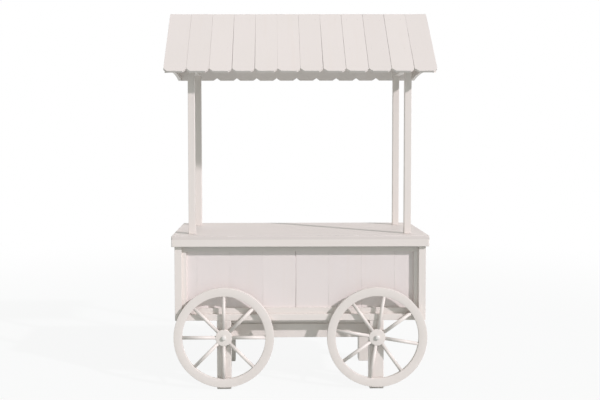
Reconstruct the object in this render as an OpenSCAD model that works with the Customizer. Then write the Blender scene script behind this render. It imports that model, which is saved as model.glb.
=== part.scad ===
// Candy cart: a painted timber counter on four legs, with a boarded gable
// roof on four slender posts and two spoked wheels that turn at the front.
//
// Millimetres. +X is the customer's right, +Y is the rear, +Z is up.
// The origin is on the ground, at the middle of the cart.

/* [Body] */
// Width of the body over its corner posts
body_w = 1420; // [1000:10:1800]
// Depth of the body over its corner posts
body_d = 682; // [500:10:900]
// Height of the body, from the underside of its plinth to the counter
body_h = 422; // [300:2:600]
// Side of the square corner posts, which is the plinth's thickness too
corner_post = 40; // [26:1:60]
// How far the frame on each side lies behind the face of the corner posts
frame_recess = 20; // [8:1:22]
// Width of the stiles beside the corner posts
stile_w = 24; // [15:1:80]
// Height of the rails along the top and the bottom of each side
rail_h = 32; // [20:1:80]
// Height of the plinth
plinth_h = 36; // [24:1:80]
// Thickness of the panel that closes each side
panel_t = 12; // [6:1:20]
// Thickness of the floor
floor_t = 18; // [9:1:22]

/* [Legs] */
// Height of the legs, from the ground to the plinth
leg_h = 392; // [320:1:500]
// Side of the square legs
leg_side = 80; // [60:1:110]
// From each end of the body to the centre of the leg
leg_inset = 277; // [150:1:330]
// Height of the stretchers between the legs
stretcher_h = 80; // [40:1:120]
// Thickness of the stretchers
stretcher_t = 20; // [12:1:30]
// Gap between the plinth and the top of the front stretcher
front_stretcher_drop = 35; // [10:1:80]
// Gap between the plinth and the top of the rear stretcher
rear_stretcher_drop = 68; // [10:1:110]

/* [Counter] */
// How far the counter stands out from the body's ends
counter_end_overhang = 16; // [5:1:60]
// How far the counter stands out from the body's front and rear
counter_overhang = 22; // [5:1:40]
// Thickness of the counter's board
counter_t = 20; // [12:1:40]
// Height of the edge strips below the board
edge_h = 41; // [20:1:80]
// Thickness of the edge strips
edge_t = 20; // [12:1:30]

/* [Roof] */
// Height of the eaves above the counter
eave_h = 922; // [700:2:1200]
// Height of the ridge above the eaves
roof_rise = 364; // [300:2:450]
// How far the roof reaches past the counter's ends
roof_end_overhang = 36; // [20:1:150]
// How far the eaves reach past the counter's front and rear
roof_overhang = 20; // [20:1:150]
// Thickness of the roof boards
board_t = 14; // [8:1:20]
// Number of boards along each slope
board_count = 12; // [8:1:16]
// Size of the corner clipped off each board at the eaves
board_clip = 21; // [10:1:30]
// Thickness of the two gables
gable_t = 18; // [9:1:25]
// How far the gables lie in from the ends of the roof
gable_inset = 8; // [0:1:40]
// Rise of the arch along the foot of each gable
gable_arch = 28; // [10:1:80]
// Length of the flat at each end of the arch
gable_foot = 12; // [4:1:30]

/* [Roof frame] */
// Side of the square posts that carry the roof
post_side = 38; // [25:1:60]
// From each end of the counter to the outside of a post
post_end_inset = 89; // [40:1:150]
// From the front or rear of the counter to the outside of a post
post_inset = 106; // [60:1:130]
// Height of the wall plates on their outer side
plate_h = 34; // [20:1:60]
// Thickness of the ridge board
ridge_board_t = 24; // [16:1:40]
// Height of the ridge board on its sides
ridge_board_h = 70; // [40:1:120]
// Height of the ties between the front and rear posts
tie_h = 34; // [20:1:50]
// Height of the ties above the eaves
tie_rise = 9; // [0:1:20]

/* [Wheels] */
// Radius of the wheels
wheel_r = 283; // [230:1:340]
// Gap between the wheels and the ground
wheel_clear = 16; // [6:1:24]
// Width of the rim, along the radius
rim_w = 48; // [30:1:70]
// Thickness of the rim, along the axle
rim_t = 22; // [16:1:24]
// Gap between the rim and the legs
rim_gap = 6; // [5:1:12]
// Diameter of the round spokes
spoke_d = 20; // [12:1:21]
// Number of spokes
spoke_count = 8; // [6:1:10]
// Radius of the hub
hub_r = 47; // [35:1:70]
// Length of the hub
hub_l = 22; // [22:1:26]
// Gap between the hub and the leg
hub_gap = 5.5; // [5:0.5:8]
// Turn of the left wheel's spokes
left_turn = 0; // [0:1:44]
// Turn of the right wheel's spokes
right_turn = 35.6; // [0:0.1:44]

/* [Axles] */
// Radius of the axle bolt
axle_r = 8; // [5:1:12]
// Depth of the axle bolt in the leg
axle_depth = 60; // [40:1:70]
// Radius of the spacer and the washer on each side of the hub
washer_r = 16; // [14:1:20]
// Thickness of the washer in front of the hub
washer_t = 1.6; // [1:0.1:3]
// Radius of the bolt's head
head_r = 13; // [9:1:14]
// Height of the bolt's head
head_h = 12; // [4:0.5:12]
// Clearance of the axle in its bore, on the radius
bore_clearance = 0.05; // [0.02:0.01:0.1]
// Clearance at the ends of the hub
end_clearance = 0.3; // [0.2:0.1:0.6]
// Clearance at the ends of a spoke, round a bolt in its leg and under the roof boards
seat_clearance = 0.1; // [0.05:0.05:0.3]

/* [Hidden] */
$fn = 96;
eps = 1;

// Colours of the paint and of the enamel on the steel.
PAINT = [0.89, 0.86, 0.83];
PANEL_PAINT = [0.87, 0.84, 0.81];
STEEL = [0.86, 0.85, 0.82];

// Body: the panels lie behind the frames, flush with the back of the posts.
bx = body_w / 2;
by = body_d / 2;
plinth_top = leg_h + plinth_h;
body_top = leg_h + body_h;
floor_top = leg_h + floor_t;
frame_t = corner_post - frame_recess;
inner_x = bx - corner_post;
inner_y = by - corner_post;

// Legs and stretchers.
leg_x = bx - leg_inset;
leg_back = by - leg_side;
stretcher_w = 2 * leg_x + leg_side;

// Counter.
cx = bx + counter_end_overhang;
cy = by + counter_overhang;
board_z = body_top + edge_h;
counter_z = board_z + counter_t;

// Roof: the slopes meet over the middle of the cart.
rx = cx + roof_end_overhang;
ry = cy + roof_overhang;
eave_z = counter_z + eave_h;
ridge_z = eave_z + roof_rise;
pitch = atan(roof_rise / ry);
under_ridge_z = ridge_z - board_t / cos(pitch);
under_eave_y = ry - board_t * sin(pitch);
under_eave_z = eave_z - board_t * cos(pitch);
board_w = 2 * rx / board_count;
gable_x = rx - gable_inset - gable_t;
arch_y = under_eave_y - gable_foot;
arch_r = (pow(arch_y, 2) + pow(gable_arch, 2)) / (2 * gable_arch);

// Roof frame.
post_x = cx - post_end_inset - post_side / 2;
post_y = cy - post_inset - post_side / 2;
plate_out = post_y + post_side / 2;
plate_in = post_y - post_side / 2;
plate_z = under_slope(plate_out) - plate_h;
tie_z = eave_z + tie_rise;

// Wheels: distances along the axle run forward from the face of the legs.
axle_z = wheel_r + wheel_clear;
rim_in = wheel_r - rim_w;
rim_mid = rim_gap + rim_t / 2;
washer_at = hub_gap + hub_l + end_clearance;
head_at = washer_at + washer_t;
axle_end = head_at + head_h;

// Height of a timber that carries the boards of a slope, at the distance y
// from the middle.
function under_slope(y) = under_ridge_z - seat_clearance - y * tan(pitch);

// A block between two opposite corners.
module block(low, high) {
    translate(low) cube(high - low);
}

// A block and its mirror image across the plane through the middle that
// is normal to the given direction.
module block_pair(low, high, across) {
    block(low, high);
    mirror(across) block(low, high);
}

// A profile in Y and Z, extruded along X from -half to half.
module along_x(half) {
    translate([-half, 0, 0]) rotate([90, 0, 90])
        linear_extrude(2 * half) children();
}

// Children turned so that their Z runs forward from the face of a leg,
// with side -1 for the left leg and 1 for the right one.
module at_axle(side) {
    translate([side * leg_x, -by, axle_z]) rotate([90, 0, 0]) children();
}

// Children at the rear, or turned to the front of the cart.
module facing(side) {
    rotate([0, 0, side == "front" ? 180 : 0]) children();
}

// Body ------------------------------------------------------------------

module floor_board() {
    color(PAINT)
        block([-inner_x, -inner_y, leg_h], [inner_x, inner_y, floor_top]);
}

module long_plinth(side) {
    color(PAINT) facing(side)
        block([-bx, inner_y, leg_h], [bx, by, plinth_top]);
}

module end_plinths() {
    color(PAINT)
        block_pair([inner_x, -inner_y, leg_h], [bx, inner_y, plinth_top], [1, 0, 0]);
}

module corner_posts(side) {
    color(PAINT) facing(side)
        block_pair([inner_x, inner_y, plinth_top], [bx, by, body_top], [1, 0, 0]);
}

module long_panel(side) {
    color(PANEL_PAINT) facing(side)
        block([-inner_x, inner_y - panel_t, floor_top], [inner_x, inner_y, body_top]);
}

module end_panel(side) {
    color(PANEL_PAINT) mirror([side == "left" ? 1 : 0, 0, 0])
        block([inner_x - panel_t, panel_t - inner_y, floor_top],
            [inner_x, inner_y - panel_t, body_top]);
}

// The bottom and top rail of a long side.
module long_rails(side) {
    color(PAINT) facing(side)
        for (z = [plinth_top, body_top - rail_h])
            block([-inner_x, inner_y, z], [inner_x, inner_y + frame_t, z + rail_h]);
}

// The bottom and top rail of an end.
module end_rails(side) {
    color(PAINT) mirror([side == "left" ? 1 : 0, 0, 0])
        for (z = [plinth_top, body_top - rail_h])
            block([inner_x, -inner_y, z], [inner_x + frame_t, inner_y, z + rail_h]);
}

// The stiles stand between the rails, against the corner posts.
module long_stiles(side) {
    color(PAINT) facing(side)
        block_pair([inner_x - stile_w, inner_y, plinth_top + rail_h],
            [inner_x, inner_y + frame_t, body_top - rail_h], [1, 0, 0]);
}

module end_stiles(side) {
    color(PAINT) mirror([side == "left" ? 1 : 0, 0, 0])
        block_pair([inner_x, inner_y - stile_w, plinth_top + rail_h],
            [inner_x + frame_t, inner_y, body_top - rail_h], [0, 1, 0]);
}

// Legs ------------------------------------------------------------------

module leg_pair() {
    block_pair([leg_x - leg_side / 2, -by, 0],
        [leg_x + leg_side / 2, -leg_back, leg_h], [1, 0, 0]);
}

// The front legs are bored for the axle bolts.
module front_legs() {
    color(PAINT) difference() {
        leg_pair();
        for (side = [-1, 1])
            at_axle(side) translate([0, 0, -axle_depth])
                cylinder(r = axle_r + seat_clearance, h = axle_depth + eps);
    }
}

module rear_legs() {
    color(PAINT) mirror([0, 1, 0]) leg_pair();
}

module stretcher(side, drop) {
    top = leg_h - drop;
    color(PAINT) facing(side)
        block([-stretcher_w / 2, leg_back - stretcher_t, top - stretcher_h],
            [stretcher_w / 2, leg_back, top]);
}

// Counter ---------------------------------------------------------------

module counter_top() {
    color(PAINT) block([-cx, -cy, board_z], [cx, cy, counter_z]);
}

module counter_long_edges() {
    color(PAINT)
        block_pair([-cx, cy - edge_t, body_top], [cx, cy, board_z], [0, 1, 0]);
}

module counter_end_edges() {
    color(PAINT)
        block_pair([cx - edge_t, edge_t - cy, body_top], [cx, cy - edge_t, board_z],
            [1, 0, 0]);
}

// Roof frame ------------------------------------------------------------

module roof_posts(side) {
    color(PAINT) facing(side)
        block_pair([post_x - post_side / 2, plate_in, counter_z],
            [post_x + post_side / 2, plate_out, plate_z], [1, 0, 0]);
}

// The wall plates lie on the posts, and their tops follow the slopes.
module wall_plates() {
    color(PAINT) for (side = ["front", "rear"])
        facing(side) along_x(gable_x)
            polygon([[plate_in, plate_z], [plate_out, plate_z],
                [plate_out, under_slope(plate_out)], [plate_in, under_slope(plate_in)]]);
}

module side_ties() {
    color(PAINT)
        block_pair([post_x - post_side / 2, -plate_in, tie_z],
            [post_x + post_side / 2, plate_in, tie_z + tie_h], [1, 0, 0]);
}

module ridge_board() {
    half = ridge_board_t / 2;
    shoulder = under_slope(half);
    color(PAINT) along_x(gable_x)
        polygon([[0, under_slope(0)], [half, shoulder], [half, shoulder - ridge_board_h],
            [-half, shoulder - ridge_board_h], [-half, shoulder]]);
}

// Each gable fills the end of the roof, down to a shallow arch.
module gable(side) {
    color(PAINT) translate([side * (gable_x + gable_t / 2), 0, 0]) difference() {
        along_x(gable_t / 2)
            polygon([[0, under_ridge_z], [-under_eave_y, under_eave_z],
                [under_eave_y, under_eave_z]]);
        translate([-gable_t, 0, under_eave_z + gable_arch - arch_r])
            rotate([0, 90, 0]) cylinder(r = arch_r, h = 2 * gable_t, $fn = 360);
    }
}

// One slope: square-cut at the eaves, plumb-cut at the ridge, with the
// corners of each board clipped at the eaves.
module roof_slope(side) {
    color(PAINT) facing(side) difference() {
        along_x(rx)
            polygon([[0, ridge_z], [0, under_ridge_z], [under_eave_y, under_eave_z],
                [ry, eave_z]]);
        translate([0, ry, eave_z]) rotate([-pitch, 0, 0])
            for (i = [0:board_count])
                translate([i * board_w - rx, eps, -board_t - eps])
                    linear_extrude(board_t + 2 * eps)
                        polygon([[0, -board_clip - eps], [board_clip + eps, 0],
                            [-board_clip - eps, 0]]);
    }
}

// Wheels ----------------------------------------------------------------

// The bolt, with its spacer behind the hub and its washer and head in front.
module axle(side) {
    color(STEEL) at_axle(side) {
        translate([0, 0, seat_clearance - axle_depth])
            cylinder(r = axle_r, h = axle_end + axle_depth - seat_clearance);
        cylinder(r = washer_r, h = hub_gap - end_clearance);
        translate([0, 0, washer_at]) cylinder(r = washer_r, h = washer_t);
        translate([0, 0, head_at]) cylinder(r = head_r, h = head_h);
    }
}

module rim(side) {
    color(PAINT) at_axle(side) translate([0, 0, rim_gap]) difference() {
        cylinder(r = wheel_r, h = rim_t, $fn = 180);
        translate([0, 0, -eps]) cylinder(r = rim_in, h = rim_t + 2 * eps, $fn = 180);
    }
}

module hub(side) {
    color(PAINT) at_axle(side) translate([0, 0, hub_gap]) difference() {
        cylinder(r = hub_r, h = hub_l);
        translate([0, 0, -eps])
            cylinder(r = axle_r + bore_clearance, h = hub_l + 2 * eps);
    }
}

// The spokes end on the round faces of the hub and the rim.
module spokes(side, turn) {
    color(PAINT) at_axle(side) translate([0, 0, rim_mid]) intersection() {
        for (i = [0:spoke_count - 1])
            rotate([0, 0, turn + i * 360 / spoke_count]) rotate([0, 90, 0])
                translate([0, 0, hub_r / 2]) cylinder(d = spoke_d, h = wheel_r, $fn = 32);
        difference() {
            cylinder(r = rim_in - seat_clearance, h = 2 * spoke_d, center = true, $fn = 180);
            cylinder(r = hub_r + seat_clearance, h = 3 * spoke_d, center = true);
        }
    }
}

floor_board();  // floor
long_plinth("front");  // front_plinth
long_plinth("rear");  // rear_plinth
end_plinths();
corner_posts("front");  // front_corner_posts
corner_posts("rear");  // rear_corner_posts
long_panel("front");  // front_panel
long_panel("rear");  // rear_panel
end_panel("left");  // left_panel
end_panel("right");  // right_panel
long_rails("front");  // front_rails
long_rails("rear");  // rear_rails
end_rails("left");  // left_rails
end_rails("right");  // right_rails
long_stiles("front");  // front_stiles
long_stiles("rear");  // rear_stiles
end_stiles("left");  // left_stiles
end_stiles("right");  // right_stiles
front_legs();
rear_legs();
stretcher("front", front_stretcher_drop);  // front_stretcher
stretcher("rear", rear_stretcher_drop);  // rear_stretcher
counter_top();
counter_long_edges();
counter_end_edges();
roof_posts("front");  // front_posts
roof_posts("rear");  // rear_posts
wall_plates();
side_ties();
ridge_board();
gable(-1);  // left_gable
gable(1);  // right_gable
roof_slope("front");  // front_roof
roof_slope("rear");  // rear_roof
axle(-1);  // left_axle
rim(-1);  // left_rim
spokes(-1, left_turn);  // left_spokes
hub(-1);  // left_hub
axle(1);  // right_axle
rim(1);  // right_rim
spokes(1, right_turn);  // right_spokes
hub(1);  // right_hub
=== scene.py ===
"""The looks of the candy cart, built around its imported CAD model.

Each timber of the CAD model is built again in its own place with eased edges and a grain of
its own, boarded faces are split into their boards, and the wheels and bolts are turned.
Metres, +X to the right, +Y to the rear, +Z up.
"""

import math
import random

import bmesh
import bpy
from mathutils import Matrix, Vector


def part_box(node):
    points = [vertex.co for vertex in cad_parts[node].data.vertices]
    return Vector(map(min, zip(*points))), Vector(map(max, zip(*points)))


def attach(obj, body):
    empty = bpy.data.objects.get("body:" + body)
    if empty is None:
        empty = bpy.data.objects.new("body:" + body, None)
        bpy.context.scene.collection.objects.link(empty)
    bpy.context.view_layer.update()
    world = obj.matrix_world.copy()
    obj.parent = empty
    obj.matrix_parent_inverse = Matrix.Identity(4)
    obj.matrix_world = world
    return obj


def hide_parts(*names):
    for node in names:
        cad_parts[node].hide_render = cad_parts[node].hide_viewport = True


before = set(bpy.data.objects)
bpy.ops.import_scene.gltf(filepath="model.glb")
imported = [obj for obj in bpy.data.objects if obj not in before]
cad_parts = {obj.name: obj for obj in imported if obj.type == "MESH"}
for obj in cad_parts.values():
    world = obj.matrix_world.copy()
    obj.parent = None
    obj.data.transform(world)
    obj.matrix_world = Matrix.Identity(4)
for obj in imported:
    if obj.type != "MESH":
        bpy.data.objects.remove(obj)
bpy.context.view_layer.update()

X, Y, Z = Vector((1, 0, 0)), Vector((0, 1, 0)), Vector((0, 0, 1))
FULL_TURN = 2 * math.pi
MM = 0.001
NEAR = 0.1 * MM
WELD = 0.01 * MM

# Camera
CAMERA_PLACE = Vector((-0.170, -5.210, 1.450))
CAMERA_YAW = 0.0091
CAMERA_PITCH = 0.0478
CAMERA_ROLL = -0.0017
LENS = 52.07
SENSOR_WIDTH = 36
LENS_SHIFT = (0.0367, -0.0417)
CLIP_END = 200

# Colours, as sRGB values
WHITE_PAINT = (231, 224, 219)
PANEL_PAINT = (231, 223, 221)
# The roof's paint is written darker than the white paint: painted shade, offsetting the
# stronger light on the slopes
SHADED_ROOF_PAINT = (225, 218, 214)
# The counter top's paint is written darker still: painted shade on the top board, offsetting
# the light and sheen that fall on it more than on the edge strips
SHADED_COUNTER_PAINT = (222, 214, 210)
ENAMEL = (229, 226, 222)
# The colour of the painted shade in corners
CORNER_SHADE_COLOUR = (160, 156, 144)
BARE_WOOD = (205, 184, 154)

# Patterns in the paint: their scale along the grain and on both ways across it, in repeats
# per metre, their detail and their roughness
PAINT_PATTERNS = {
    "rings": ((1.3, 22, 34), 5, 0.55),
    "brush": ((7, 420, 420), 3, 0.6),
    "cloud": ((3.2, 3.2, 3.2), 3, 0.5),
    "speck": ((160, 160, 160), 2, 0.6),
}

# Tones of the paint: the pattern that brings each in, from which level to which, the most
# that shows of it, and its share of the paint's own red, green and blue
PAINT_TONES = (
    ("rings", 0.52, 0.72, 0.12, (0.97, 0.94, 0.90)),
    ("board", 0.00, 1.00, 0.30, (0.96, 0.96, 0.96)),
    ("cloud", 0.35, 0.75, 0.16, (0.955, 0.965, 0.95)),
    ("brush", 0.30, 0.80, 0.07, (0.94, 0.94, 0.94)),
)

# Relief of the paint: the share of each pattern in it, and its depth
PAINT_RELIEF = (("rings", 0.55), ("brush", 0.28), ("cloud", 0.5))
PAINT_DEPTH = 0.6 * MM
PAINT_IOR = 1.48

# Painted shade in corners, a darkening of the paint where the occlusion finds another surface:
# how near the other surface is, how open the corner is where the shade is at its most and where
# it ends, the most of it, and the levels of the cloud that thin it out, with the share that
# each leaves
CORNER_SHADE_REACH = 20 * MM
CORNER_SHADE_SAMPLES = 6
CORNER_SHADE_OPENNESS = (0.05, 0.45)
CORNER_SHADE_SHARE = 0.12
CORNER_SHADE_CLOUDS = (0.25, 0.7, 0.4, 1.0)

# Chips in the paint, only along eased edges: the levels of the speck and of the cloud
# between which they come in, and how they show
CHIP_SPECKS = (0.63, 0.69)
CHIP_CLOUDS = (0.54, 0.68)
CHIP_SHARE = 0.5
CHIP_ROUGHNESS = 0.3
CHIP_DEPTH = 0.6

# Gloss of the paint, as its least and greatest roughness, and the levels of the rings there
GLOSS_RINGS = (0.3, 0.8)
SATIN = (0.40, 0.52)
SATIN_RELIEF = 0.35
DULL = (0.54, 0.64)
DULL_RELIEF = 0.2

# Enamel on the bolts: its dull patches, its pooled surface and its gloss
PATCH_SCALE = (120, 120, 120)
PATCH_DETAIL = 4
PATCH_LEVELS = (0.4, 0.7)
PATCH_SHARE = 0.6
PATCH_TINT = (0.94, 0.94, 0.94)
POOL_SCALE = (420, 420, 420)
POOL_DETAIL = 3
POOL_DEPTH = 0.3 * MM
POOL_RELIEF = 0.3
GLOSS_PATCHES = (0.3, 0.7)
ENAMEL_GLOSS = (0.22, 0.36)
ENAMEL_IOR = 1.5

# Edges of timbers
EASE = 1.6 * MM
FINE_EASE = 0.8 * MM
STOUT_EASE = 3 * MM
EASE_STEPS = 2
SHARP_ANGLE = math.radians(25)
CREASE_ANGLE = math.radians(35)
PARALLEL = 0.99
FLAT_END = 0.999
GRAIN_SPREAD = 9.0

# Battens under the floor
BEARER_HEIGHT = 17 * MM
BEARER_DEPTH = 30 * MM

# Counter
COUNTER_CORNER = 6 * MM
COUNTER_STEPS = 3

# Boards of the panels and of the gables
PANEL_BOARD = 187.5 * MM
LEAST_BOARD = 20 * MM
SEAM_SHIFT = -25 * MM
SEAM_GAP = 0.15 * MM
SEAM_GROOVE = 0.6 * MM
MIDDLE_GAP = 1.0 * MM
MIDDLE_GROOVE = 2.0 * MM
ARCH_STEPS = 10
CROWN_REACH = 30 * MM

# Roof boards
ROOF_BOARDS = 12
ROOF_CLIP = 21 * MM
ROOF_TRIM = 0.8 * MM
ROOF_UNEVEN = 1.0 * MM
ROOF_EASE = 0.4 * MM
ROOF_SEAM_REACH = 2 * MM
# Gap at the ridge and at the eaves beside each board of the front slope, in millimetres,
# and the ranges that the gaps of the rear slope are drawn from
FRONT_GAPS = ((0.5, 0.5), (0.5, 0.7), (0.8, 2.3), (0.2, 1.9), (0.1, 0.1), (0.6, 0.3),
              (0.3, 2.5), (0.9, 1.2), (1.2, 1.3), (1.2, 1.4), (0.2, 1.7))
REAR_RIDGE_GAPS = (0.4, 1.6)
REAR_EAVES_GAPS = (0.4, 2.0)

# Nail heads in the roof
NAIL_RADIUS = 3.2 * MM
NAIL_RISE = 0.6 * MM
NAIL_DOME = ((1.0, 0.0), (0.86, 0.55), (0.5, 0.9))
NAIL_STEPS = 12
NAIL_FROM_EDGE = 30 * MM
NAIL_FROM_RIDGE = 55 * MM
NAIL_STRAY = 4 * MM

# Wheels
FELLOES = 4
RIM_ROUND = 2.0 * MM
RIM_STEPS = 192
SPOKE_SEAT = 3 * MM
SPOKE_STEPS = 32
HUB_ROUND = 3.0 * MM
HUB_STEPS = 96
BOLT_STEPS = 56
WASHER_CHAMFER = 0.6 * MM
HEAD_STRAIGHT = 0.45
HEAD_STEPS = 9
ROUND_STEPS = 4

# Studio
FLOOR_RADIUS = 40.0
FLOOR_STEPS = 96
FLOOR_COLOUR = (199, 204, 202)
FLOOR_FADE = (2.2, 7.0)
FLOOR_WHITE = 0.9
# Suns: azimuth from the front towards the right, elevation, and width, in degrees
KEY_SUN = (52, 29.8, 2)
KEY_STRENGTH = 2.62
KEY_COLOUR = (1.0, 0.94, 0.98)
REAR_SUN = (180, 10, 40)
REAR_STRENGTH = 0.7
REAR_COLOUR = (1.0, 0.97, 0.97)
SUN_DISTANCE = 6
AMBIENT = 0.50
AMBIENT_COLOUR = (0.94, 1.0, 0.965, 1.0)
WHITE = (1.0, 1.0, 1.0, 1.0)

chance = random.Random(20)


# Measures read from the frame ------------------------------------------------


def node_points(node):
    """The points of a CAD node, in metres."""
    return [v.co.copy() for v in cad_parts[node].data.vertices]


def solids(node):
    """The lowest and highest corner of each separate solid of a CAD node."""
    bm = bmesh.new()
    bm.from_mesh(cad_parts[node].data)
    bmesh.ops.remove_doubles(bm, verts=bm.verts, dist=WELD)
    found, seen = [], set()
    for start in bm.verts:
        if start in seen:
            continue
        seen.add(start)
        group = [start]
        for vert in group:
            for edge in vert.link_edges:
                other = edge.other_vert(vert)
                if other not in seen:
                    seen.add(other)
                    group.append(other)
        low = Vector([min(v.co[i] for v in group) for i in range(3)])
        high = Vector([max(v.co[i] for v in group) for i in range(3)])
        found.append((low, high))
    bm.free()
    return sorted(found, key=lambda pair: tuple(pair[0]))


def outlines(node):
    """The outline of each solid of a CAD node that runs along X, and the way it is swept."""
    found = []
    for low, high in solids(node):
        centre = (low + high) / 2
        points = set()
        for p in node_points(node):
            if abs(p.x - low.x) < NEAR and low.y - MM < p.y < high.y + MM:
                points.add((round(p.y, 6), round(p.z, 6)))
        points = sorted(points, key=lambda p: math.atan2(p[1] - centre.z, p[0] - centre.y))
        found.append(([(low.x, y, z) for y, z in points], X * (high.x - low.x)))
    return found


def radial_range(node, axle):
    """The least and greatest distance of a node's points from the axle."""
    distances = [math.hypot(p.x - axle.x, p.z - axle.z) for p in node_points(node)]
    return min(distances), max(distances)


# Building a piece ------------------------------------------------------------


class Piece:
    """A mesh gathered part by part, with the grain and the shade of each part."""

    def __init__(self):
        self.points, self.faces, self.smooth = [], [], []
        self.grain, self.shade, self.arris = [], [], []

    def take(self, bm, along=X, side=Y, turned=False, sectors=None):
        """Adds a part and frees it. Its grain runs along one direction. A ring has sectors
        instead, each with a grain of its own: their centre, first angle and number. The
        round faces of a part that isn't turned are its eased edges, where paint chips."""
        ways = [(along, side)]
        if sectors:
            centre, first_angle, count = sectors
            ways = []
            for i in range(count):
                middle_angle = first_angle + (i + 0.5) * FULL_TURN / count
                ways.append((Vector((-math.sin(middle_angle), 0, math.cos(middle_angle))), Y))
        grains = []
        for way, other in ways:
            shift = Vector([chance.uniform(0, GRAIN_SPREAD) for _ in range(3)])
            grains.append((Matrix((way, other, way.cross(other))), shift, chance.random()))
        first = len(self.points)
        bm.verts.index_update()
        self.points += [vert.co.copy() for vert in bm.verts]
        for face in bm.faces:
            part = 0
            if sectors:
                reach = face.calc_center_median() - centre
                turn = math.atan2(reach.z, reach.x) - first_angle
                part = int(turn % FULL_TURN / FULL_TURN * count)
            basis, shift, shade = grains[part]
            self.faces.append([first + v.index for v in face.verts])
            self.grain += [basis @ v.co + shift for v in face.verts]
            self.smooth.append(face.smooth)
            self.arris.append(1.0 if face.smooth and not turned else 0.0)
            self.shade.append(shade)
        bm.free()

    def build(self, name, body, nodes, material, creased=False):
        """Makes the object, which rides on its body and stands for its CAD nodes."""
        mesh = bpy.data.meshes.new(name)
        mesh.from_pydata(self.points, [], self.faces)
        mesh.polygons.foreach_set("use_smooth", self.smooth)
        if creased:
            mesh.set_sharp_from_angle(angle=CREASE_ANGLE)
        grain = mesh.attributes.new("grain", "FLOAT_VECTOR", "CORNER")
        grain.data.foreach_set("vector", [c for point in self.grain for c in point])
        for label, values in (("shade", self.shade), ("arris", self.arris)):
            layer = mesh.attributes.new(label, "FLOAT", "FACE")
            layer.data.foreach_set("value", values)
        mesh.materials.append(material)
        mesh.validate()
        mesh.update()
        piece = bpy.data.objects.new(name, mesh)
        bpy.context.scene.collection.objects.link(piece)
        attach(piece, body)
        if nodes:
            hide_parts(*nodes)


def prism(outline, sweep):
    """A closed solid: a flat outline of points, carried along the vector sweep."""
    bm = bmesh.new()
    near = [bm.verts.new(p) for p in outline]
    far = [bm.verts.new(Vector(p) + sweep) for p in outline]
    bm.faces.new(near)
    bm.faces.new(far[::-1])
    for i in range(len(outline)):
        j = (i + 1) % len(outline)
        bm.faces.new((near[j], near[i], far[i], far[j]))
    return flat_faces(bm)


def flat_faces(bm):
    """Makes every face flat, and turns it outwards."""
    for face in bm.faces:
        face.smooth = False
    bmesh.ops.recalc_face_normals(bm, faces=bm.faces)
    return bm


def block(low, high):
    """A block between two opposite corners."""
    outline = [(low.x, low.y, low.z), (high.x, low.y, low.z), (high.x, high.y, low.z),
               (low.x, high.y, low.z)]
    return prism(outline, Z * (high.z - low.z))


def ease(bm, width, wanted=None, steps=EASE_STEPS):
    """Rounds the sharp edges of a part, or those of them that are wanted."""
    edges = [e for e in bm.edges if e.calc_face_angle(0) > SHARP_ANGLE]
    if wanted is not None:
        edges = [e for e in edges if wanted(e)]
    made = bmesh.ops.bevel(bm, geom=edges, offset=width, offset_type="OFFSET",
                           segments=steps, profile=0.5, affect="EDGES",
                           clamp_overlap=True)
    for face in made["faces"]:
        face.smooth = True
    return bm


def is_along(edge, direction):
    """Whether an edge runs along a direction."""
    way = (edge.verts[1].co - edge.verts[0].co).normalized()
    return abs(way.dot(direction)) > PARALLEL


def edge_middle(edge):
    """The middle of an edge."""
    return (edge.verts[0].co + edge.verts[1].co) / 2


def longest_way(low, high):
    """The axis along the longest side of a box, and another axis."""
    size = high - low
    along = max((X, Y, Z), key=lambda axis: size.dot(axis))
    return along, (Y if along is X else X)


def lathe(profile, origin, axis, around, steps, closed=False):
    """A solid turned about an axis. The profile's points are a radius and a distance along
    the axis, and a closed profile makes a ring. The two directions around are square to the
    axis and to each other. Faces square to the axis stay flat."""
    bm = bmesh.new()
    rings = []
    for radius, distance in profile:
        centre = origin + axis * distance
        if radius < NEAR:
            rings.append([bm.verts.new(centre)])
            continue
        ring = []
        for i in range(steps):
            turn = FULL_TURN * i / steps
            reach = around[0] * math.cos(turn) + around[1] * math.sin(turn)
            ring.append(bm.verts.new(centre + reach * radius))
        rings.append(ring)
    pairs = list(zip(rings, rings[1:]))
    if closed:
        pairs.append((rings[-1], rings[0]))
    for first, second in pairs:
        for i in range(steps):
            j = (i + 1) % steps
            if len(first) == 1:
                bm.faces.new((first[0], second[j], second[i]))
            elif len(second) == 1:
                bm.faces.new((first[i], first[j], second[0]))
            else:
                bm.faces.new((first[i], first[j], second[j], second[i]))
    bmesh.ops.recalc_face_normals(bm, faces=bm.faces)
    for face in bm.faces:
        face.smooth = abs(face.normal.dot(axis)) < FLAT_END
    return bm


def quarter(centre, radius, start):
    """Points of a quarter circle in a profile, from the angle start in quarter turns."""
    points = []
    for i in range(ROUND_STEPS + 1):
        turn = (start + i / ROUND_STEPS) * math.pi / 2
        points.append((centre[0] + radius * math.cos(turn),
                       centre[1] + radius * math.sin(turn)))
    return points


# Materials -------------------------------------------------------------------


def linear(rgb):
    """An sRGB colour from 0 to 255 as a linear RGBA colour."""
    def channel(value):
        share = value / 255
        return share / 12.92 if share <= 0.04045 else ((share + 0.055) / 1.055) ** 2.4
    return (*[channel(value) for value in rgb], 1)


def tinted(rgb, tint):
    """A share of an sRGB colour's red, green and blue, as a linear RGBA colour."""
    return linear([value * share for value, share in zip(rgb, tint)])


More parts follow.
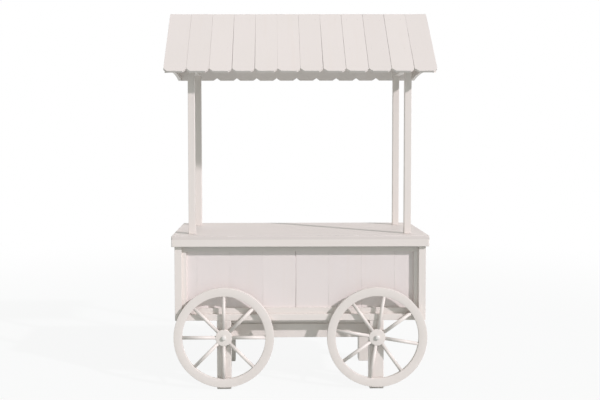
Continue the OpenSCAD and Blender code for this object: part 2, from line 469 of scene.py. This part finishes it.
class Nodes:
    """A short way to write the node tree of a material or a world."""

    def __init__(self, owner, kind="Material"):
        owner.use_nodes = True
        self.tree = owner.node_tree
        self.tree.nodes.clear()
        self.output = self.tree.nodes.new("ShaderNodeOutput" + kind)

    def add(self, kind, settings=None, **inputs):
        """Adds a node. An input is named, or numbered as in i0, and is a number, a colour or
        another node's output."""
        node = self.tree.nodes.new("ShaderNode" + kind)
        for key, value in (settings or {}).items():
            setattr(node, key, value)
        for key, value in inputs.items():
            numbered = key[0] == "i" and key[1:].isdigit()
            socket = node.inputs[int(key[1:]) if numbered else key.replace("_", " ")]
            if isinstance(value, bpy.types.NodeSocket):
                self.tree.links.new(value, socket)
            else:
                socket.default_value = value
        return node

    def math(self, operation, a, b):
        """One step of arithmetic."""
        return self.add("Math", {"operation": operation}, i0=a, i1=b).outputs[0]

    def spread(self, value, low, high, to_low=0.0, to_high=1.0):
        """Maps a value smoothly from one range to another, clamped."""
        node = self.add("MapRange", {"interpolation_type": "SMOOTHSTEP"}, Value=value,
                        From_Min=low, From_Max=high, To_Min=to_low, To_Max=to_high)
        return node.outputs["Result"]

    def mix(self, share, a, b):
        """Mixes two colours."""
        return self.add("Mix", {"data_type": "RGBA"}, i0=share, i6=a, i7=b).outputs[2]

    def noise(self, vector, scale, detail, roughness=0.5):
        """A noise from about 0 to 1, with a scale along each axis."""
        place = self.add("Mapping", Vector=vector, Scale=scale).outputs["Vector"]
        node = self.add("TexNoise", Vector=place, Scale=1.0, Detail=detail,
                        Roughness=roughness)
        return node.outputs["Fac"]

    def layer(self, name, output):
        """A value that each face or corner of a piece carries."""
        return self.add("Attribute", {"attribute_name": name}).outputs[output]

    def show(self, shader):
        """Makes a shader the visible one."""
        self.tree.links.new(shader.outputs[0], self.output.inputs["Surface"])


def painted_wood(name, colour, gloss=SATIN, relief=SATIN_RELIEF):
    """Brushed paint over planed softwood: the grain and the brush marks show through."""
    material = bpy.data.materials.new(name)
    n = Nodes(material)
    grain = n.layer("grain", "Vector")
    patterns = {"board": n.layer("shade", "Fac")}
    for pattern, (scale, detail, rough) in PAINT_PATTERNS.items():
        patterns[pattern] = n.noise(grain, scale, detail, rough)

    base = linear(colour)
    for pattern, low, high, most, tint in PAINT_TONES:
        share = n.spread(patterns[pattern], low, high, 0.0, most)
        base = n.mix(share, base, tinted(colour, tint))

    # Painted shade: the paint darkens where the occlusion finds corners and crevices, patchy by
    # the cloud
    corner = n.add("AmbientOcclusion", {"samples": CORNER_SHADE_SAMPLES, "only_local": False},
                   Distance=CORNER_SHADE_REACH)
    shade_in_corners = n.spread(corner.outputs["AO"], *CORNER_SHADE_OPENNESS, CORNER_SHADE_SHARE, 0.0)
    patchy_corner_shade = n.math("MULTIPLY", shade_in_corners, n.spread(patterns["cloud"], *CORNER_SHADE_CLOUDS))
    base = n.mix(patchy_corner_shade, base, linear(CORNER_SHADE_COLOUR))

    chip = n.math("MULTIPLY", n.spread(patterns["speck"], *CHIP_SPECKS),
                  n.spread(patterns["cloud"], *CHIP_CLOUDS))
    chip = n.math("MULTIPLY", chip, n.layer("arris", "Fac"))
    base = n.mix(n.math("MULTIPLY", chip, CHIP_SHARE), base, linear(BARE_WOOD))

    roughness = n.math("ADD", n.spread(patterns["rings"], *GLOSS_RINGS, *gloss),
                       n.math("MULTIPLY", chip, CHIP_ROUGHNESS))
    height = 0.0
    for pattern, share in PAINT_RELIEF:
        height = n.math("ADD", height, n.math("MULTIPLY", patterns[pattern], share))
    height = n.math("SUBTRACT", height, n.math("MULTIPLY", chip, CHIP_DEPTH))
    bump = n.add("Bump", Strength=relief, Distance=PAINT_DEPTH, Height=height)
    n.show(n.add("BsdfPrincipled", Base_Color=base, Roughness=roughness, IOR=PAINT_IOR,
                 Normal=bump.outputs["Normal"]))
    return material


def enamel(name):
    """Hard white enamel over steel: slightly pooled, with a few duller patches."""
    material = bpy.data.materials.new(name)
    n = Nodes(material)
    grain = n.layer("grain", "Vector")
    patch = n.noise(grain, PATCH_SCALE, PATCH_DETAIL)
    pool = n.noise(grain, POOL_SCALE, POOL_DETAIL)
    base = n.mix(n.spread(patch, *PATCH_LEVELS, 0.0, PATCH_SHARE), linear(ENAMEL),
                 tinted(ENAMEL, PATCH_TINT))
    roughness = n.spread(patch, *GLOSS_PATCHES, *ENAMEL_GLOSS)
    bump = n.add("Bump", Strength=POOL_RELIEF, Distance=POOL_DEPTH, Height=pool)
    n.show(n.add("BsdfPrincipled", Base_Color=base, Roughness=roughness, IOR=ENAMEL_IOR,
                 Normal=bump.outputs["Normal"]))
    return material


white_paint = painted_wood("white_paint", WHITE_PAINT)
panel_paint = painted_wood("panel_paint", PANEL_PAINT)
# A darker copy of the white paint for the roof boards: painted shade
roof_paint_shaded = painted_wood("roof_paint_shaded", SHADED_ROOF_PAINT)
# A darker, duller copy of the white paint for the counter's top board: painted shade
counter_paint_shaded = painted_wood("counter_paint_shaded", SHADED_COUNTER_PAINT, DULL, DULL_RELIEF)
bolt_enamel = enamel("bolt_enamel")


# Plain timbers ---------------------------------------------------------------


def plain_timbers(node, width):
    """The blocks of a CAD node, each with eased edges."""
    piece = Piece()
    for low, high in solids(node):
        piece.take(ease(block(low, high), width), *longest_way(low, high))
    piece.build(node + "_wood", "cart", [node], white_paint)


def floor_bearers():
    """Two battens under the floor, from leg to leg, just behind the plinths."""
    left_leg, right_leg = solids("front_legs")
    floor_low, floor_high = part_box("floor")
    piece = Piece()
    for face, inward in ((floor_low.y, 1), (floor_high.y, -1)):
        near, far = sorted((face, face + inward * BEARER_DEPTH))
        low = Vector((left_leg[1].x, near, floor_low.z - BEARER_HEIGHT))
        high = Vector((right_leg[0].x, far, floor_low.z))
        piece.take(ease(block(low, high), FINE_EASE), X, Y)
    piece.build("floor_bearers", "cart", [], white_paint)


for node in ("floor", "front_rails", "rear_rails", "left_rails", "right_rails",
             "front_stiles", "rear_stiles", "left_stiles", "right_stiles", "side_ties"):
    plain_timbers(node, FINE_EASE)
for node in ("front_plinth", "rear_plinth", "end_plinths", "front_corner_posts",
             "rear_corner_posts", "front_stretcher", "rear_stretcher", "front_posts",
             "rear_posts"):
    plain_timbers(node, EASE)
for node in ("front_legs", "rear_legs"):
    plain_timbers(node, STOUT_EASE)
floor_bearers()


# Counter ---------------------------------------------------------------------


def build_counter():
    """The counter's board and its edge strips: round corners, and flush joints between them."""
    low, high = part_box("counter_top")

    def on_corner(edge):
        place = edge_middle(edge)
        at_end = min(place.x - low.x, high.x - place.x) < MM
        at_side = min(place.y - low.y, high.y - place.y) < MM
        return at_end and at_side and is_along(edge, Z)

    def is_level(edge, z):
        return all(abs(v.co.z - z) < NEAR for v in edge.verts)

    board = ease(block(low, high), COUNTER_CORNER, on_corner, COUNTER_STEPS)
    ease(board, STOUT_EASE, lambda e: is_level(e, high.z))
    top = Piece()
    top.take(board, X, Y)
    # The top board takes the darker paint, painted shade on its upper face; the edge strips
    # keep the white paint
    top.build("counter_top_wood", "cart", ["counter_top"], counter_paint_shaded)

    for node in ("counter_long_edges", "counter_end_edges"):
        piece = Piece()
        for start, end in solids(node):
            strip = ease(block(start, end), COUNTER_CORNER, on_corner, COUNTER_STEPS)
            ease(strip, STOUT_EASE, lambda e, z=start.z: is_level(e, z))
            piece.take(strip, *longest_way(start, end))
        piece.build(node + "_wood", "cart", [node], white_paint)


build_counter()


# Panels ----------------------------------------------------------------------


def board_seams(low, high, shift):
    """Places of the seams between boards, from low to high, one of them at shift."""
    first = math.ceil((low - shift) / PANEL_BOARD)
    last = math.floor((high - shift) / PANEL_BOARD)
    inner = [shift + i * PANEL_BOARD for i in range(first, last + 1)]
    inner = [s for s in inner if low + LEAST_BOARD < s < high - LEAST_BOARD]
    return [low] + inner + [high]


def panel(node, outward):
    """A boarded panel, whose boards meet in small grooves on the outer side. The long panels
    have a wider seam near the middle."""
    low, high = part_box(node)
    across, i = (Y, 1) if abs(outward.x) > abs(outward.y) else (X, 0)
    start, end = low[i], high[i]
    sign = -1 if outward.y > 0 else 1
    shift = sign * SEAM_SHIFT if across is X else (start + end) / 2
    seams = board_seams(start, end, shift)
    face = max(low.dot(outward), high.dot(outward))
    piece = Piece()
    for left, right in zip(seams, seams[1:]):
        a, b = low.copy(), high.copy()
        cuts = []
        for corner, seam, way in ((a, left, 1), (b, right, -1)):
            is_middle = across is X and abs(seam - shift) < MM
            if start < seam < end:
                corner[i] = seam + way * (MIDDLE_GAP if is_middle else SEAM_GAP) / 2
            cuts.append((corner[i], MIDDLE_GROOVE if is_middle else SEAM_GROOVE))
        board = block(a, b)
        for at, groove in cuts:

            def outer_seam(edge, at=at):
                place = edge_middle(edge)
                on_face = abs(place.dot(outward) - face) < NEAR
                return on_face and abs(place[i] - at) < NEAR

            ease(board, groove, outer_seam, 1)
        piece.take(board, Z, across)
    piece.build(node + "_boards", "cart", [node], panel_paint)


panel("front_panel", -Y)
panel("rear_panel", Y)
panel("left_panel", -X)
panel("right_panel", X)


# Roof ------------------------------------------------------------------------

roof_end, _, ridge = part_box("front_roof")[1]
roof_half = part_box("rear_roof")[1].y
eave = max(p.z for p in node_points("front_roof") if abs(p.y + roof_half) < NEAR)
under_ridge = min(p.z for p in node_points("front_roof") if abs(p.y) < NEAR)
pitch = math.atan2(ridge - eave, roof_half)
slope_length = math.hypot(ridge - eave, roof_half)
board_thickness = (ridge - under_ridge) * math.cos(pitch)


def on_slope(side, x, along, depth):
    """A point of a slope: its distance from the ridge and its depth below the outer face."""
    y = side * (along * math.cos(pitch) - depth * math.sin(pitch))
    return Vector((x, y, ridge - along * math.sin(pitch) - depth * math.cos(pitch)))


def slope_ways(side):
    """The directions down a slope and straight out of it."""
    start = on_slope(side, 0, 0, 0)
    return on_slope(side, 0, 1, 0) - start, on_slope(side, 0, 0, -1) - start


def is_seam(edge, side, left, right):
    """Whether an edge runs down a slope, on the outer face of a board and at its side."""
    if not is_along(edge, slope_ways(side)[0]):
        return False
    place = edge_middle(edge)
    depth = (ridge - place.z - abs(place.y) * math.tan(pitch)) * math.cos(pitch)
    at_side = min(place.x - left, right - place.x) < ROOF_SEAM_REACH
    return at_side and depth < board_thickness / 2


def roof_board(side, left, right, ends_low, ends_high, trim, drops):
    """One roof board, clipped at the eaves and cut plumb at the ridge. On its inner face it
    meets its neighbours, at left and right. Its two long edges outside are given at the ridge
    and at the eaves, and its outer face drops a little at each of them."""
    left_top, left_foot = ends_low
    right_top, right_foot = ends_high
    foot = slope_length - trim
    plumb = math.tan(pitch)
    rows = [(left_top, 0), (left_foot, foot - ROOF_CLIP), (left_foot + ROOF_CLIP, foot),
            (right_foot - ROOF_CLIP, foot), (right_foot, foot - ROOF_CLIP), (right_top, 0)]
    bm = bmesh.new()
    outer, inner = [], []
    for i, (x, along) in enumerate(rows):
        share = (x - left_top) / (right_top - left_top)
        drop = drops[0] + (drops[1] - drops[0]) * share
        at_ridge = along == 0
        outer.append(bm.verts.new(on_slope(side, x, drop * plumb if at_ridge else along,
                                           drop)))
        if i < 2:
            x = left
        elif i > 3:
            x = right
        inner.append(bm.verts.new(on_slope(
            side, x, board_thickness * plumb if at_ridge else along, board_thickness)))
    bm.faces.new(outer)
    bm.faces.new(inner[::-1])
    for i in range(len(rows)):
        j = (i + 1) % len(rows)
        bm.faces.new((outer[j], outer[i], inner[i], inner[j]))
    flat_faces(bm)
    sides = [{row[i], row[i + 1]} for row in (outer, inner) for i in (0, 4)]
    ease(bm, FINE_EASE, lambda e: set(e.verts) not in sides)
    return ease(bm, ROOF_EASE, lambda e: is_seam(e, side, left, right))


def nail_head(side, x, along, drop):
    """A painted nail head, a low dome on a slope."""
    down, out = slope_ways(side)
    profile = [(0, -NAIL_RISE)]
    profile += [(NAIL_RADIUS * radius, NAIL_RISE * rise) for radius, rise in NAIL_DOME]
    profile += [(0, NAIL_RISE)]
    bm = lathe(profile, on_slope(side, x, along, drop), out, (X, down), NAIL_STEPS)
    for face in bm.faces:
        face.smooth = True
    return bm


def roof_slope(node, side, gaps):
    """A slope of the roof, board by board, with two nails over each timber that carries it."""
    board_width = 2 * roof_end / ROOF_BOARDS
    plate = (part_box("wall_plates")[1].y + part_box("rear_posts")[0].y) / 2
    nail_rows = [NAIL_FROM_RIDGE, plate / math.cos(pitch)]
    down = slope_ways(side)[0]
    piece = Piece()
    for i in range(ROOF_BOARDS):
        left, right = i * board_width - roof_end, (i + 1) * board_width - roof_end
        before = gaps[i - 1] if i > 0 else (0, 0)
        after = gaps[i] if i < ROOF_BOARDS - 1 else (0, 0)
        ends_low = [left + gap * MM / 2 for gap in before]
        ends_high = [right - gap * MM / 2 for gap in after]
        drops = [chance.uniform(0, ROOF_UNEVEN) for _ in range(2)]
        trim = chance.uniform(0, ROOF_TRIM)
        board = roof_board(side, left, right, ends_low, ends_high, trim, drops)
        piece.take(board, down, X)
        for row in nail_rows:
            for x in (left + NAIL_FROM_EDGE, right - NAIL_FROM_EDGE):
                x += chance.uniform(-NAIL_STRAY, NAIL_STRAY)
                along = row + chance.uniform(-NAIL_STRAY, NAIL_STRAY)
                drop = drops[0] + (drops[1] - drops[0]) * (x - left) / board_width
                piece.take(nail_head(side, x, along, drop), down, X, turned=True)
    piece.build(node + "_boards", "cart", [node], roof_paint_shaded)


def sloped_timbers(node):
    """The timbers along the roof, whose tops follow its slopes."""
    piece = Piece()
    for outline, sweep in outlines(node):
        piece.take(ease(prism(outline, sweep), EASE), X, Y)
    piece.build(node + "_wood", "cart", [node], white_paint)


rear_gaps = []
for _ in FRONT_GAPS:
    rear_gaps.append((chance.uniform(*REAR_RIDGE_GAPS), chance.uniform(*REAR_EAVES_GAPS)))
roof_slope("front_roof", -1, FRONT_GAPS)
roof_slope("rear_roof", 1, rear_gaps)
sloped_timbers("wall_plates")
sloped_timbers("ridge_board")


# Gables ----------------------------------------------------------------------


def build_gable(node, outward):
    """A boarded gable over a shallow arch, with grooves between its boards outside."""
    low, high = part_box(node)
    half = high.y
    slope = (high.z - low.z) / half
    points = node_points(node)
    foot = min(abs(p.y) for p in points if abs(p.z - low.z) < WELD)
    crown = min(p.z for p in points if abs(p.y) < CROWN_REACH)
    rise = crown - low.z
    radius = (foot ** 2 + rise ** 2) / (2 * rise)

    def arch(y):
        if abs(y) >= foot:
            return low.z
        return crown - radius + math.sqrt(radius ** 2 - y ** 2)

    def top(y):
        return high.z - abs(y) * slope

    inner_x = low.x if outward > 0 else high.x

    def on_arch(edge):
        return all(abs(v.co.z - arch(v.co.y)) < NEAR for v in edge.verts)

    def on_seam(edge):
        return is_along(edge, Z) and abs(edge_middle(edge).x - inner_x) > MM

    seams = board_seams(-half, half, 0)
    piece = Piece()
    for left, right in zip(seams, seams[1:]):
        a = left + (SEAM_GAP / 2 if left > -half else 0)
        b = right - (SEAM_GAP / 2 if right < half else 0)
        lower = [a + (b - a) * i / ARCH_STEPS for i in range(ARCH_STEPS + 1)]
        outline = [(inner_x, y, arch(y)) for y in lower]
        outline += [(inner_x, y, top(y)) for y in (b, a) if top(y) - arch(y) > NEAR]
        if a < 0 < b:
            outline.insert(-1, (inner_x, 0, top(0)))
        board = prism(outline, X * (high.x - low.x) * outward)
        ease(board, FINE_EASE, on_arch)
        ease(board, SEAM_GROOVE, on_seam, 1)
        piece.take(board, Z, Y)
    piece.build(node + "_boards", "cart", [node], white_paint)


build_gable("left_gable", -1)
build_gable("right_gable", 1)


# Wheels ----------------------------------------------------------------------


def spoke_turns(side, axle):
    """The angles of the spokes of a wheel, from +X towards +Z."""
    turns = []
    for low, high in solids(side + "_spokes"):
        mid = (low + high) / 2
        turns.append(math.atan2(mid.z - axle.z, mid.x - axle.x) % FULL_TURN)
    return sorted(turns)


def build_rim(side, axle):
    """The rim, whose felloes meet flush halfway between spokes."""
    node = side + "_rim"
    low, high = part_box(node)
    inner, outer = radial_range(node, axle)
    small, large = inner + RIM_ROUND, outer - RIM_ROUND
    front, back = low.y + RIM_ROUND, high.y - RIM_ROUND
    profile = []
    for start, corner in enumerate(((large, back), (small, back), (small, front),
                                    (large, front))):
        profile += quarter(corner, RIM_ROUND, start)
    ring = lathe(profile, axle, Y, (X, Z), RIM_STEPS, closed=True)
    turns = spoke_turns(side, axle)
    piece = Piece()
    piece.take(ring, turned=True,
               sectors=(axle, turns[0] + FULL_TURN / 2 / len(turns), FELLOES))
    piece.build(node + "_felloes", side + "_wheel", [node], white_paint,
                creased=True)


def build_spokes(side, axle):
    """Round dowels, let into the hub and the rim."""
    node = side + "_spokes"
    low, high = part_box(node)
    radius = (high.y - low.y) / 2
    start, end = radial_range(node, axle)
    start, end = start - SPOKE_SEAT, end + SPOKE_SEAT
    profile = [(0, start), (radius, start), (radius, end), (0, end)]
    origin = Vector((axle.x, (high.y + low.y) / 2, axle.z))
    piece = Piece()
    for turn in spoke_turns(side, axle):
        along = Vector((math.cos(turn), 0, math.sin(turn)))
        dowel = lathe(profile, origin, along, (Y, along.cross(Y)), SPOKE_STEPS)
        piece.take(dowel, along, Y, turned=True)
    piece.build(node + "_dowels", side + "_wheel", [node], white_paint)


def build_hub(side, axle):
    """A turned hub, with round edges."""
    node = side + "_hub"
    low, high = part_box(node)
    bore, outer = radial_range(node, axle)
    front, back = low.y, high.y
    profile = [(bore, back), (bore, front)]
    profile += quarter((outer - HUB_ROUND, front + HUB_ROUND), HUB_ROUND, 3)
    profile += quarter((outer - HUB_ROUND, back - HUB_ROUND), HUB_ROUND, 0)
    piece = Piece()
    piece.take(lathe(profile, axle, Y, (X, Z), HUB_STEPS, closed=True), X, Y, turned=True)
    piece.build(node + "_turned", side + "_wheel", [node], white_paint,
                creased=True)


def build_axle(side, axle):
    """The bolt with its spacer, its chamfered washer and its domed cap."""
    node = side + "_axle"
    levels = {}
    for p in node_points(node):
        radius = math.hypot(p.x - axle.x, p.z - axle.z)
        levels.setdefault(round(p.y, 5), []).append(radius)
    head_front, head_back, washer_back, spacer_front, spacer_back, tip = sorted(levels)
    head_radius = max(levels[head_front])
    shank = min(r for r in levels[spacer_front] if r > MM)
    collar = max(levels[spacer_front])
    profile = [(0, tip), (shank, tip), (shank, spacer_back), (collar, spacer_back),
               (collar, spacer_front), (shank, spacer_front), (shank, washer_back),
               (collar, washer_back), (collar, head_back + WASHER_CHAMFER),
               (collar - WASHER_CHAMFER, head_back), (head_radius, head_back)]
    shoulder = head_back - (head_back - head_front) * HEAD_STRAIGHT
    for i in range(HEAD_STEPS):
        turn = i / HEAD_STEPS * math.pi / 2
        profile.append((head_radius * math.cos(turn),
                        shoulder - (shoulder - head_front) * math.sin(turn)))
    profile.append((0, head_front))
    piece = Piece()
    piece.take(lathe(profile, axle, Y, (X, Z), BOLT_STEPS), Y, X, turned=True)
    piece.build(node + "_bolt", "cart", [node], bolt_enamel, creased=True)


for side in ("left", "right"):
    hub_low, hub_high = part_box(side + "_hub")
    axle = (hub_low + hub_high) / 2
    axle.y = 0
    build_rim(side, axle)
    build_spokes(side, axle)
    build_hub(side, axle)
    build_axle(side, axle)


# Studio ----------------------------------------------------------------------


def seen_directly(n):
    """Whether a ray comes from the camera, or from a glossy or a clear surface."""
    path = n.add("LightPath").outputs
    by_surface = n.math("MAXIMUM", path["Is Glossy Ray"], path["Is Transmission Ray"])
    return n.math("MAXIMUM", path["Is Camera Ray"], by_surface)


def build_floor():
    """A pale floor. It keeps the shadow near the cart, and fades to white further out."""
    bm = bmesh.new()
    bmesh.ops.create_circle(bm, cap_ends=True, segments=FLOOR_STEPS, radius=FLOOR_RADIUS)
    mesh = bpy.data.meshes.new("studio_floor")
    bm.to_mesh(mesh)
    bm.free()
    material = bpy.data.materials.new("studio_floor")
    n = Nodes(material)
    place = n.add("NewGeometry").outputs["Position"]
    distance = n.add("VectorMath", {"operation": "LENGTH"}, i0=place).outputs["Value"]
    fade = n.spread(distance, *FLOOR_FADE, FLOOR_WHITE, 1.0)
    matte = n.add("BsdfDiffuse", Color=linear(FLOOR_COLOUR))
    white = n.add("Emission", Color=WHITE, Strength=1.0)
    n.show(n.add("MixShader", i0=n.math("MULTIPLY", seen_directly(n), fade),
                 i1=matte.outputs[0], i2=white.outputs[0]))
    mesh.materials.append(material)
    floor = bpy.data.objects.new("studio_floor", mesh)
    bpy.context.scene.collection.objects.link(floor)


def build_world():
    """An even soft light, and a white background for what sees it directly."""
    world = bpy.data.worlds.new("studio")
    bpy.context.scene.world = world
    n = Nodes(world, "World")
    soft = n.add("Background", Color=AMBIENT_COLOUR, Strength=AMBIENT)
    white = n.add("Background", Color=WHITE, Strength=1.0)
    n.show(n.add("MixShader", i0=seen_directly(n), i1=soft.outputs[0], i2=white.outputs[0]))


def build_sun(name, place, strength, colour, glossy=True):
    """A sun lamp, from its azimuth, elevation and width. One that isn't glossy leaves no
    reflection."""
    azimuth, elevation, width = [math.radians(angle) for angle in place]
    lamp = bpy.data.lights.new(name, "SUN")
    lamp.energy = strength
    lamp.angle = width
    lamp.color = colour
    sun = bpy.data.objects.new(name, lamp)
    sun.visible_glossy = glossy
    bpy.context.scene.collection.objects.link(sun)
    flat = math.cos(elevation)
    towards = Vector((math.sin(azimuth) * flat, -math.cos(azimuth) * flat,
                      math.sin(elevation)))
    sun.location = towards * SUN_DISTANCE
    sun.rotation_mode = "QUATERNION"
    sun.rotation_quaternion = towards.to_track_quat("Z", "Y")


def build_camera():
    """The camera, level but for a small pitch, to the left of the cart's middle."""
    data = bpy.data.cameras.new("camera")
    data.lens = LENS
    data.sensor_width = SENSOR_WIDTH
    data.shift_x, data.shift_y = LENS_SHIFT
    data.clip_end = CLIP_END
    camera = bpy.data.objects.new("camera", data)
    bpy.context.scene.collection.objects.link(camera)
    right = Vector((math.cos(CAMERA_YAW), -math.sin(CAMERA_YAW), 0))
    ahead = Vector((math.sin(CAMERA_YAW), math.cos(CAMERA_YAW), 0))
    forward = ahead * math.cos(CAMERA_PITCH) - Z * math.sin(CAMERA_PITCH)
    up = ahead * math.sin(CAMERA_PITCH) + Z * math.cos(CAMERA_PITCH)
    rolled_right = right * math.cos(CAMERA_ROLL) + up * math.sin(CAMERA_ROLL)
    rolled_up = up * math.cos(CAMERA_ROLL) - right * math.sin(CAMERA_ROLL)
    turned = Matrix((rolled_right, rolled_up, -forward)).transposed().to_4x4()
    camera.matrix_world = Matrix.Translation(CAMERA_PLACE) @ turned
    bpy.context.scene.camera = camera


build_floor()
build_world()
build_sun("key", KEY_SUN, KEY_STRENGTH, KEY_COLOUR)
build_sun("rear_fill", REAR_SUN, REAR_STRENGTH, REAR_COLOUR, glossy=False)
build_camera()
bpy.context.scene.view_settings.view_transform = "Standard"
